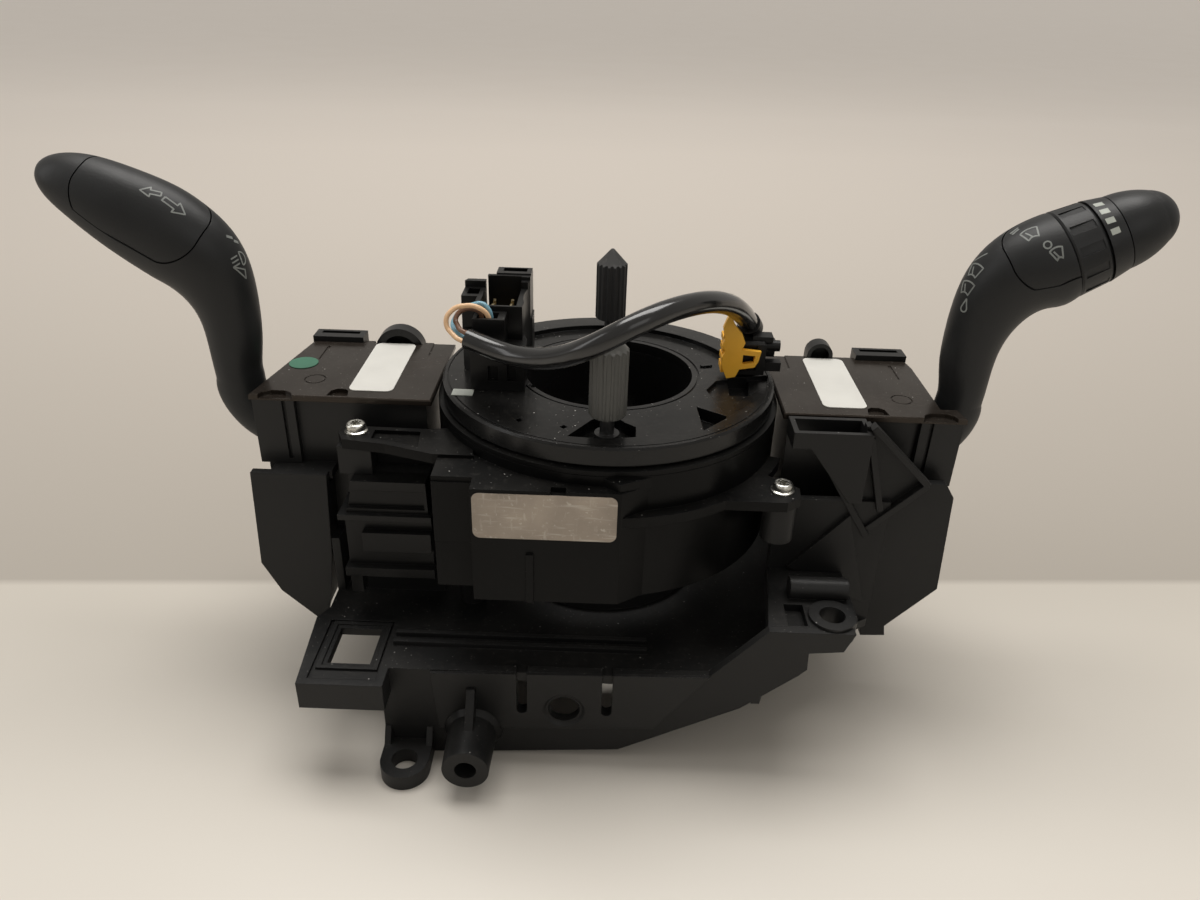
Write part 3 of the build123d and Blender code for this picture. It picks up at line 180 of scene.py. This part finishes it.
def plastic(name, colour, rough=0.45, grain=900.0, grain_height=0.02, dust=0.12, wear=0.1, edge=0.25,
            specular=0.32, specks=0.0, ripple=0.0, tint=(1.0, 1.0, 1.0)):
    """Moulded plastic: spark grain, blotchy gloss, a dust film and pale specks on top faces, worn edges."""
    material, shader = new_material(name)
    g = Graph(material, shader)
    blotch = g.noise(38.0, 4.0)
    dark = tuple(c * 0.8 for c in colour)
    light = tuple(min(c * 1.22, 1.0) for c in colour)
    body = g.mix(g.span(blotch, 0.3, 0.7), dark, light)
    top = g.upward()
    film = g.math("MULTIPLY", g.span(g.noise(55.0, 5.0), 0.38, 0.8), top)
    fine = g.math("MULTIPLY", g.span(g.noise(620.0, 3.0), 0.56, 0.75), top)
    body = g.mix(g.math("MULTIPLY", g.math("ADD", fine, film), dust), body, DUST_COLOUR)
    if specks:
        lint = g.math("MAXIMUM", g.spots(230.0, 0.055), g.spots(410.0, 0.07, (1.0, 2.2, 1.0)))
        body = g.mix(g.math("MULTIPLY", g.math("MULTIPLY", lint, top), specks), body, LINT_COLOUR)
    body = g.mix(g.math("MULTIPLY", g.worn(), wear), body, tuple(min(c * 3 + 0.03, 1.0) for c in colour))
    g.link(body, shader.inputs["Base Color"])
    g.link(g.span(blotch, 0.3, 0.7, rough - 0.06, rough + 0.08), shader.inputs["Roughness"])
    shader.inputs["Specular IOR Level"].default_value = specular
    shader.inputs["Specular Tint"].default_value = (*tint, 1.0)
    surface = g.noise(grain, 2.0)
    if ripple:
        surface = g.math("ADD", surface, g.math("MULTIPLY", g.noise(240.0, 1.0), ripple / grain_height))
    g.bump(surface, grain_height * MM, edge * MM)
    return material


STREAK_STRETCH = (1, 1, 14)    # the streaks' scale along each axis
METAL_EDGE = 0.15              # millimetres, the rounding that its edges are shaded with


def metal(name, colour, rough=0.3, tarnish=0.25):
    """Turned or plated metal with fine streaks and a slightly dull film."""
    material, shader = new_material(name)
    g = Graph(material, shader)
    film = g.span(g.noise(160.0, 4.0), 0.35, 0.7, 0.0, tarnish)
    g.link(g.mix(film, colour, tuple(c * 0.45 for c in colour)), shader.inputs["Base Color"])
    streak = g.noise(700.0, 2.0, STREAK_STRETCH)
    g.link(g.span(streak, 0.3, 0.7, rough - 0.08, rough + 0.12), shader.inputs["Roughness"])
    shader.inputs["Metallic"].default_value = 1.0
    g.bump(streak, 0.006 * MM, METAL_EDGE * MM)
    return material


def smooth_skin(name, colour, rough, scale=60.0, spread=0.12, height=0.01, coat=0.0, specular=0.5):
    """Sheaths, insulation, labels and films: an even colour with slight mottling and waviness."""
    material, shader = new_material(name)
    g = Graph(material, shader)
    mottle = g.noise(scale, 4.0)
    low = tuple(c * (1 - spread) for c in colour)
    high = tuple(min(c * (1 + spread), 1.0) for c in colour)
    g.link(g.mix(g.span(mottle, 0.3, 0.7), low, high), shader.inputs["Base Color"])
    g.link(g.span(g.noise(scale * 7, 3.0), 0.3, 0.7, rough - 0.05, rough + 0.07), shader.inputs["Roughness"])
    shader.inputs["Coat Weight"].default_value = coat
    shader.inputs["Coat Roughness"].default_value = 0.12
    shader.inputs["Specular IOR Level"].default_value = specular
    g.bump(g.noise(scale * 12, 2.0), height * MM)
    return material


def scratched(name, colour, scratch_colour, rough):
    """A rubbed foil label: blotches, long fine scratches both ways and scuffed spots."""
    material, shader = new_material(name)
    g = Graph(material, shader)
    blotch = g.span(g.noise(70.0, 5.0), 0.3, 0.7)
    body = g.mix(blotch, tuple(c * 0.72 for c in colour), tuple(c * 1.2 for c in colour))
    along = g.span(g.noise(420.0, 4.0, (0.25, 1.0, 2.4)), 0.58, 0.74, 0.0, 0.45)
    across = g.span(g.noise(380.0, 4.0, (2.0, 1.0, 0.5)), 0.58, 0.74, 0.0, 0.35)
    scuffs = g.span(g.noise(900.0, 4.0), 0.62, 0.74, 0.0, 0.5)
    body = g.mix(g.math("MAXIMUM", scuffs, g.math("MAXIMUM", along, across)), body, scratch_colour)
    g.link(body, shader.inputs["Base Color"])
    g.link(g.span(blotch, 0.0, 1.0, rough - 0.08, rough + 0.10), shader.inputs["Roughness"])
    shader.inputs["Metallic"].default_value = 0.3
    g.bump(g.noise(500.0, 2.0, (0.3, 1.0, 2.0)), 0.01 * MM)
    return material


# ---------------------------------------------------------------- materials
MATERIALS = {
    "carrier_plastic": plastic("carrier_plastic", (0.0075, 0.0075, 0.0075), rough=0.42, grain=1100, dust=0.04,
                               edge=0.4, specular=0.24, specks=0.5),
    "stator_plastic": plastic("stator_plastic", (0.0035, 0.0035, 0.0035), rough=0.36, dust=0.03,
                              specular=0.11, wear=0.06, specks=0.6),
    "rotor_plastic": plastic("rotor_plastic", (0.0045, 0.0045, 0.0045), rough=0.24, dust=0.045, specular=0.28,
                             specks=0.9, ripple=0.05),
    "connector_plastic": plastic("connector_plastic", (0.0045, 0.0045, 0.0045), rough=0.34, dust=0.03,
                                 specular=0.22, specks=0.3),
    "case_plastic": plastic("case_plastic", (0.0065, 0.0065, 0.0065), rough=0.36, dust=0.04, specular=0.28,
                            specks=0.3),
    "cover_plastic": plastic("cover_plastic", (0.012, 0.009, 0.007), rough=0.22, grain_height=0.006,
                             dust=0.045, specular=0.36, specks=0.5, ripple=0.01,
                             tint=(1.0, 0.87, 0.74)),
    "sleeve_plastic": plastic("sleeve_plastic", (0.022, 0.022, 0.022), rough=0.5, dust=0.2, wear=0.3),
    "stalk_plastic": plastic("stalk_plastic", (0.013, 0.0135, 0.014), rough=0.44, grain=1600,
                             grain_height=0.03, dust=0.02, wear=0.0, edge=0.1, specular=0.3),
    "gear_plastic": plastic("gear_plastic", (0.72, 0.70, 0.64), rough=0.4, dust=0.0, wear=0.0),
    "lock_yellow": plastic("lock_yellow", (0.80, 0.40, 0.035), rough=0.35, dust=0.03, wear=0.05),
    "marker_green": smooth_skin("marker_green", (0.035, 0.15, 0.09), 0.4, spread=0.25),
    "lead_sheath": smooth_skin("lead_sheath", (0.008, 0.008, 0.008), 0.20, coat=0.5, height=0.004,
                               specular=0.35),
    "orange_insulation": smooth_skin("orange_insulation", (0.80, 0.52, 0.30), 0.32),
    "brown_insulation": smooth_skin("brown_insulation", (0.16, 0.08, 0.045), 0.35),
    "blue_insulation": smooth_skin("blue_insulation", (0.19, 0.38, 0.48), 0.35),
    "paper_label": smooth_skin("paper_label", (0.62, 0.61, 0.57), 0.45, spread=0.06),
    "metal_label": scratched("metal_label", (0.34, 0.29, 0.24), (0.66, 0.62, 0.56), 0.36),
    "ribbon_film": smooth_skin("ribbon_film", (0.5, 0.24, 0.07), 0.3),
    "circuit_board": smooth_skin("circuit_board", (0.02, 0.16, 0.06), 0.35),
    "magnet": metal("magnet", (0.2, 0.2, 0.21), rough=0.5),
    "terminal_brass": metal("terminal_brass", (0.75, 0.62, 0.38)),
    "pin_steel": metal("pin_steel", (0.13, 0.13, 0.13), rough=0.4),
    "zinc_screws": metal("zinc_screws", (0.66, 0.65, 0.60), rough=0.26, tarnish=0.4),
}
FROSTED_SLEEVE = plastic("frosted_sleeve", (0.050, 0.050, 0.046), rough=0.42, dust=0.25, wear=0.4,
                         specular=0.4)
TAPE = smooth_skin("tape", (0.42, 0.44, 0.40), 0.35, scale=120.0, spread=0.2)
SYMBOL_INK = smooth_skin("symbol_ink", (0.19, 0.20, 0.19), 0.5, scale=200.0, spread=0.15)
TICK_INK = smooth_skin("tick_ink", (0.36, 0.38, 0.34), 0.45, scale=200.0, spread=0.06)

# nodes whose finish differs from the rest of their slot
OWN_MATERIALS = {"front_pin_sleeve": FROSTED_SLEEVE, "tape_strip": TAPE}


def shade_cad():
    """Every CAD node gets the material of its slot in the record, or its own."""
    slots = {part["node"]: part["material_slot"] for part in frame["record"]["subparts"]}
    for name, obj in NODES.items():
        obj.data.materials.clear()
        obj.data.materials.append(OWN_MATERIALS.get(name) or MATERIALS[slots[name]])


shade_cad()


# ---------------------------------------------------------------- cords
LEAD_ROUTE = [(-39.2, -20.5, 17.0), (-29.6, -25.3, 15.1), (-20.7, -31.8, 16.4), (-12.2, -39.0, 20.1),
              (-3.7, -44.6, 26.0), (5.0, -44.4, 31.2), (13.7, -38.5, 33.5), (23.2, -29.0, 32.9),
              (30.8, -18.5, 29.5), (37.2, -8.0, 23.4), (41.1, 1.6, 16.5)]
LEAD_RADIUS = 3.0


def cord_curve(name, route, radius, material):
    """A cord as a NURBS tube with the route's points as its control points."""
    data = bpy.data.curves.new(name, "CURVE")
    data.dimensions = "3D"
    data.bevel_depth = radius * MM
    data.bevel_resolution = 6
    data.resolution_u = 12
    data.use_fill_caps = True
    spline = data.splines.new("NURBS")
    spline.points.add(len(route) - 1)
    for point, place in zip(spline.points, route):
        point.co = (*(Vector(place) * MM), 1.0)
    spline.order_u = 3
    spline.use_endpoint_u = True
    obj = bpy.data.objects.new(name, data)
    scene.collection.objects.link(obj)
    data.materials.append(material)
    return obj


lead = cord_curve("airbag_lead_tube", LEAD_ROUTE, LEAD_RADIUS, MATERIALS["lead_sheath"])
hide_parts("airbag_lead")
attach(lead, "rotor")


# ---------------------------------------------------------------- meshes built here
def skin(mesh, rings):
    """Faces along a row of four-point rings, and over both its ends."""
    for a, b in zip(rings, rings[1:]):
        for k in range(4):
            mesh.faces.new((a[k], b[k], b[(k + 1) % 4], a[(k + 1) % 4]))
    mesh.faces.new(rings[0])
    mesh.faces.new(reversed(rings[-1]))


def mesh_object(name, mesh, material):
    """Turns a bmesh into an object of the scene, its faces outward."""
    bmesh.ops.recalc_face_normals(mesh, faces=mesh.faces)
    data = bpy.data.meshes.new(name)
    mesh.to_mesh(data)
    mesh.free()
    data.materials.append(material)
    obj = bpy.data.objects.new(name, data)
    scene.collection.objects.link(obj)
    return obj


# ---------------------------------------------------------------- printed symbols
INK_LIFT = 0.05      # how far the ink stands above the plastic
INK_SINK = 0.05      # how far it reaches into it
LINE = 0.42          # width of the symbols' lines
STEP = 0.35          # longest piece of a line that lies straight on the curved plastic
REACH = 9.0          # how far above the plastic a line is dropped from
FACING = 0.2         # least cosine between the ink's way out and the plastic's own


def arc(x, y, radius, start, end):
    """Points on an arc, its angles in degrees from the symbol's right."""
    count = max(4, round(abs(radians(end - start)) * radius / STEP))
    angles = [radians(start + (end - start) * i / count) for i in range(count + 1)]
    return [(x + radius * cos(a), y + radius * sin(a)) for a in angles]


def closed(points):
    return points + points[:1]


def arrow_outline(length, shaft, head, head_length):
    """A hollow arrow from the origin along the symbol's right."""
    neck = length - head_length
    upper = [(0, shaft), (neck, shaft), (neck, head), (length, 0)]
    lower = [(x, -y) for x, y in reversed(upper[:-1])]
    return [closed(upper + lower)]


def window(wide, narrow, height):
    """A windscreen with its wiper: arched top and bottom edges, and sides that lean out."""
    rise = height * 0.18
    top = [(wide / 2 * t, height / 2 + rise * (1 - t * t)) for t in (-1, -0.5, 0, 0.5, 1)]
    bottom = [(narrow / 2 * t, -height / 2 + rise * (1 - t * t)) for t in (1, 0.5, 0, -0.5, -1)]
    return [closed(top + bottom), [(0, -height / 2 + rise), (-wide * 0.22, height * 0.36)]]


def lamp(radius, rays):
    """A lamp in side view, a half disc, with beams to its left."""
    shell = closed(arc(0, 0, radius, -90, 90))
    beams = [[(-radius * 0.5, radius * t), (-radius * 1.7, radius * (t - 0.25))] for t in rays]
    return [shell] + beams


def drop(length, width):
    """A long water drop, its point at the top."""
    return [closed([(0, length / 2)] + arc(0, -length / 2 + width / 2, width / 2, 20, -200))]


def resampled(points):
    """The line's points with no gap wider than the step."""
    dense = [points[0]]
    for (x0, y0), (x1, y1) in zip(points, points[1:]):
        count = max(1, round(sqrt((x1 - x0) ** 2 + (y1 - y0) ** 2) / STEP))
        dense += [(x0 + (x1 - x0) * i / count, y0 + (y1 - y0) * i / count) for i in range(1, count + 1)]
    return dense


class Print:
    """Thin raised ink on one CAD node: lines are drawn flat, then dropped onto the node's surface."""

    def __init__(self, name, target, body, material, slot):
        self.mesh = bmesh.new()
        self.name, self.body, self.material, self.slot = name, body, material, slot
        surface = NODES[target].data
        self.tree = BVHTree.FromPolygons([v.co for v in surface.vertices],
                                         [tuple(p.vertices) for p in surface.polygons])

    def drop_point(self, point, out):
        hit, normal = self.tree.ray_cast(point + out * REACH * MM, -out, 2 * REACH * MM)[:2]
        return (hit, normal) if hit is not None and normal.dot(out) > FACING else None

    def line(self, points, centre, right, up, width):
        """One line, as a closed strip that follows the surface."""
        out = right.cross(up)
        dense = resampled(points)
        rows = []
        for i, (x, y) in enumerate(dense):
            ahead = Vector(dense[min(i + 1, len(dense) - 1)])
            run = (ahead - Vector(dense[max(i - 1, 0)])).normalized()
            sides = []
            for side in (width / 2, -width / 2):
                px, py = x - run.y * side, y + run.x * side
                found = self.drop_point((centre + right * px + up * py) * MM, out)
                if found is None:
                    break
                sides.append(found)
            if len(sides) == 2:
                rows.append([hit + normal * lift * MM
                             for lift in (INK_LIFT, -INK_SINK) for hit, normal in sides])
        if len(rows) > 1:
            skin(self.mesh, [[self.mesh.verts.new(row[k]) for k in (0, 1, 3, 2)] for row in rows])

    def symbol(self, lines, centre, right, out, width=LINE):
        """A symbol at a place on the node, given the ways its right side points and its face looks."""
        out = Vector(out).normalized()
        right = Vector(right)
        right = (right - out * right.dot(out)).normalized()
        up = out.cross(right)
        for points in lines:
            self.line(points, Vector(centre), right, up, width)

    def finish(self):
        obj = mesh_object(self.name, self.mesh, self.material)
        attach(obj, self.body)


def left_symbols():
    """Turn arrows on the grip's inlay, and three lamp symbols down the neck."""
    face = (0.40, -0.58, 0.70)
    ink = Print("left_turn_arrows", "left_grip_panel", "left_lever", SYMBOL_INK, "paper_label")
    ink.symbol(arrow_outline(5.4, 0.65, 1.6, 2.6), (-125.1, -3.75, 49.5), (-5.1, -1.35, 1.4), face)
    ink.symbol(arrow_outline(6.8, 0.75, 1.9, 3.0), (-124.4, -4.4, 48.5), (5.4, -0.5, -4.1), face)
    ink.finish()
    neck_face = (0.90, -0.35, 0.25)
    neck_right = (0.36, 0.93, 0.0)
    ink = Print("left_lamp_symbols", "left_lever", "left_lever", SYMBOL_INK, "paper_label")
    ink.symbol([[(-1.6, 1.9), (0.2, 0.9)], [(0.1, 0.1), (1.7, -0.8)]], (-109.1, -0.1, 36.1), neck_right,
               neck_face, 0.8)
    ink.symbol(lamp(1.9, (0.6, 0.0, -0.6)), (-107.8, -0.9, 31.3), neck_right, neck_face)
    ink.symbol([closed([(-1.8, 1.9), (1.7, 0.2), (1.2, -2.3)])], (-107.6, -2.6, 27.9), neck_right, neck_face)
    ink.finish()


def right_symbols():
    """Wiper symbols on the grip's inlay and down the neck."""
    face = (-0.45, -0.45, 0.77)
    along = (0.87, -0.02, 0.49)
    ink = Print("right_wiper_symbols", "right_grip_panel", "right_lever", SYMBOL_INK, "paper_label")
    ink.symbol([[(-1.4, 1.0), (1.2, 1.9)], [(-1.2, 0.1), (1.0, 1.0)]], (112.6, -0.6, 46.3), along, face, 0.55)
    ink.symbol(window(4.6, 2.8, 3.4), (115.4, -3.6, 46.4), along, face)
    ink.symbol([closed(arc(0, 0, 0.95, 0, 330))], (118.5, -8.0, 45.0), along, face)
    ink.symbol(window(3.4, 1.6, 2.4), (120.7, -10.3, 43.6), along, face)
    ink.finish()
    neck_face = (-0.85, -0.40, 0.30)
    neck_right = (0.40, -0.85, 0.0)
    ink = Print("right_neck_symbols", "right_lever", "right_lever", SYMBOL_INK, "paper_label")
    ink.symbol([[(-1.8, -1.6), (1.9, 1.8)]], (105.2, 1.4, 38.4), neck_right, neck_face)
    ink.symbol(window(5.2, 3.0, 3.2), (103.7, -0.6, 35.0), neck_right, neck_face)
    ink.symbol(window(4.8, 2.8, 3.2), (102.5, -1.2, 30.0), neck_right, neck_face)
    ink.symbol(drop(3.8, 1.9), (102.1, -3.0, 25.7), neck_right, neck_face)
    ink.finish()


WIPER_AXIS_POINT = Vector((127.0, 1.0, 40.0))
WIPER_SLOPE = radians(27.0)
BAND_MIDDLE = 11.6                # along the axis from its point
BAND_RADIUS = 11.6
TICK_ANGLES = (14, 30, 46, 62)    # degrees from the band's top towards its front
TICK_LENGTH = 2.4
TICK_WIDTH = 1.7


def band_ticks():
    """Four painted blocks round the wiper band, from its top to its front."""
    axis = Vector((cos(WIPER_SLOPE), 0.0, sin(WIPER_SLOPE)))
    top = Vector((-sin(WIPER_SLOPE), 0.0, cos(WIPER_SLOPE)))
    front = Vector((0.0, -1.0, 0.0))
    ink = Print("wiper_band_ticks", "wiper_band", "right_lever", TICK_INK, "paper_label")
    for angle in TICK_ANGLES:
        out = top * cos(radians(angle)) + front * sin(radians(angle))
        centre = WIPER_AXIS_POINT + axis * BAND_MIDDLE + out * BAND_RADIUS
        ink.symbol([[(-TICK_LENGTH / 2, 0), (TICK_LENGTH / 2, 0)]], centre, axis, out, TICK_WIDTH)
    ink.finish()


left_symbols()
right_symbols()
band_ticks()


# ---------------------------------------------------------------- the left wing's returned edge
WING_EDGE = [(-82.3, -30.0), (-83.5, -54.0), (-85.4, -69.5), (-86.4, -73.5)]    # x and z, downwards
WING_THICKNESS = 1.8
WING_FRONT = -23.2
WING_BACK = -12.5


def wing_return():
    """A flange that runs back from the inner edge of the carrier's left wing."""
    mesh = bmesh.new()
    rings = []
    for x, z in WING_EDGE:
        corners = [(x, WING_FRONT), (x, WING_BACK),
                   (x - WING_THICKNESS, WING_BACK), (x - WING_THICKNESS, WING_FRONT)]
        rings.append([mesh.verts.new(Vector((cx, cy, z)) * MM) for cx, cy in corners])
    skin(mesh, rings)
    flange = mesh_object("left_wing_return", mesh, MATERIALS["carrier_plastic"])
    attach(flange, "housing")


wing_return()


# ---------------------------------------------------------------- floor, backdrop and light
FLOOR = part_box("carrier")[0].z
FLOOR_REACH = 12.0   # metres from its middle to its edges
FLOOR_SKEW = -0.06   # turns the line between table and wall a little
TABLE_FADE = (-0.14, 0.02)     # metres of depth over which each colour changes
EDGE_FADE = (0.024, 0.028)
WALL_FADE = (0.03, 0.9)
GLOW_FADE = (0.03, 1.2)
# painted shade: the table's colour darkens from near to far, towards and behind the object
TABLE_NEAR = (0.71, 0.67, 0.61)
TABLE_FAR_PAINTED_SHADE = (0.56, 0.52, 0.46)
# painted light: the wall's colour lightens with distance, where the lamps' light falls off
WALL_NEAR = (0.40, 0.365, 0.32)
WALL_FAR_PAINTED_LIGHT = (0.62, 0.56, 0.495)
STUDIO_COLOUR = (1.0, 0.95, 0.88, 1.0)
STUDIO_LIGHT = 0.33  # what the world sheds on the object
STUDIO_LOOK = 0.45   # what is seen of it past the floor, directly or in metal and glass
FAR_GLOW = 0.30      # keeps the far end of the floor as light as the near, as a lit wall is


def showing(tree):
    """1 for the rays that show the background itself: straight from the camera, mirrored or through glass."""
    rays = tree.nodes.new("ShaderNodeLightPath").outputs
    shown = rays["Is Camera Ray"]
    for kind in ("Is Glossy Ray", "Is Transmission Ray"):
        larger = tree.nodes.new("ShaderNodeMath")
        larger.operation = "MAXIMUM"
        tree.links.new(shown, larger.inputs[0])
        tree.links.new(rays[kind], larger.inputs[1])
        shown = larger.outputs[0]
    return shown


def make_floor():
    """A table that turns into a wall's colours with depth, with painted shade that darkens the table towards
    the back and painted light that lightens the wall further off.
    """
    mesh = bpy.data.meshes.new("floor")
    corners = [(x * FLOOR_REACH, y * FLOOR_REACH, FLOOR) for x, y in ((-1, -1), (1, -1), (1, 1), (-1, 1))]
    mesh.from_pydata(corners, [], [(0, 1, 2, 3)])
    floor = bpy.data.objects.new("floor", mesh)
    scene.collection.objects.link(floor)
    material, shader = new_material("floor")
    g = Graph(material, shader)
    split = g.tree.nodes.new("ShaderNodeSeparateXYZ")
    g.link(g.place, split.inputs[0])
    depth = g.math("ADD", split.outputs["Y"], g.math("MULTIPLY", split.outputs["X"], FLOOR_SKEW))
    # painted shade on the table, darker with depth
    table = g.mix(g.span(depth, *TABLE_FADE), TABLE_NEAR, TABLE_FAR_PAINTED_SHADE)
    # painted light on the wall, lighter with depth
    wall = g.mix(g.span(depth, *WALL_FADE), WALL_NEAR, WALL_FAR_PAINTED_LIGHT)
    colour = g.mix(g.span(depth, *EDGE_FADE), table, wall)
    g.link(colour, shader.inputs["Base Color"])
    g.link(g.span(g.noise(9.0, 2.0), 0.0, 1.0, 0.27, 0.33), shader.inputs["Roughness"])
    glow = g.math("MULTIPLY", showing(g.tree), g.span(depth, *GLOW_FADE, 0.0, FAR_GLOW))
    g.link(glow, shader.inputs["Emission Strength"])
    shader.inputs["Emission Color"].default_value = (*WALL_FAR_PAINTED_LIGHT, 1.0)
    shader.inputs["Specular IOR Level"].default_value = 0.35
    floor.data.materials.append(material)


def make_world():
    """A plain studio: it looks as pale as the floor, and lights the object less."""
    world = bpy.data.worlds.new("studio")
    world.use_nodes = True
    tree = world.node_tree
    background = tree.nodes["Background"]
    background.inputs["Color"].default_value = STUDIO_COLOUR
    strength = tree.nodes.new("ShaderNodeMapRange")
    strength.inputs["To Min"].default_value = STUDIO_LIGHT
    strength.inputs["To Max"].default_value = STUDIO_LOOK
    tree.links.new(showing(tree), strength.inputs["Value"])
    tree.links.new(strength.outputs["Result"], background.inputs["Strength"])
    scene.world = world


def area_light(name, place, target, size, power, colour=(1, 1, 1)):
    data = bpy.data.lights.new(name, "AREA")
    data.shape = "RECTANGLE"
    data.size = size[0]
    data.size_y = size[1]
    data.energy = power
    data.color = colour
    light = bpy.data.objects.new(name, data)
    scene.collection.objects.link(light)
    light.location = place
    light.rotation_euler = (Vector(target) - Vector(place)).to_track_quat("-Z", "Y").to_euler()


make_floor()
make_world()
area_light("top_softbox", (0.02, 0.30, 1.15), (0, 0, 0), (1.2, 0.6), 15.5, (1.0, 0.98, 0.95))
area_light("front_fill", (0.6, -1.0, 0.7), (0, 0, -0.02), (0.8, 0.6), 1.3, (1.0, 0.99, 0.97))
area_light("left_strip", (-1.0, -0.2, 0.5), (0, 0, 0), (0.3, 0.8), 1.5)

scene.view_settings.view_transform = "Standard"
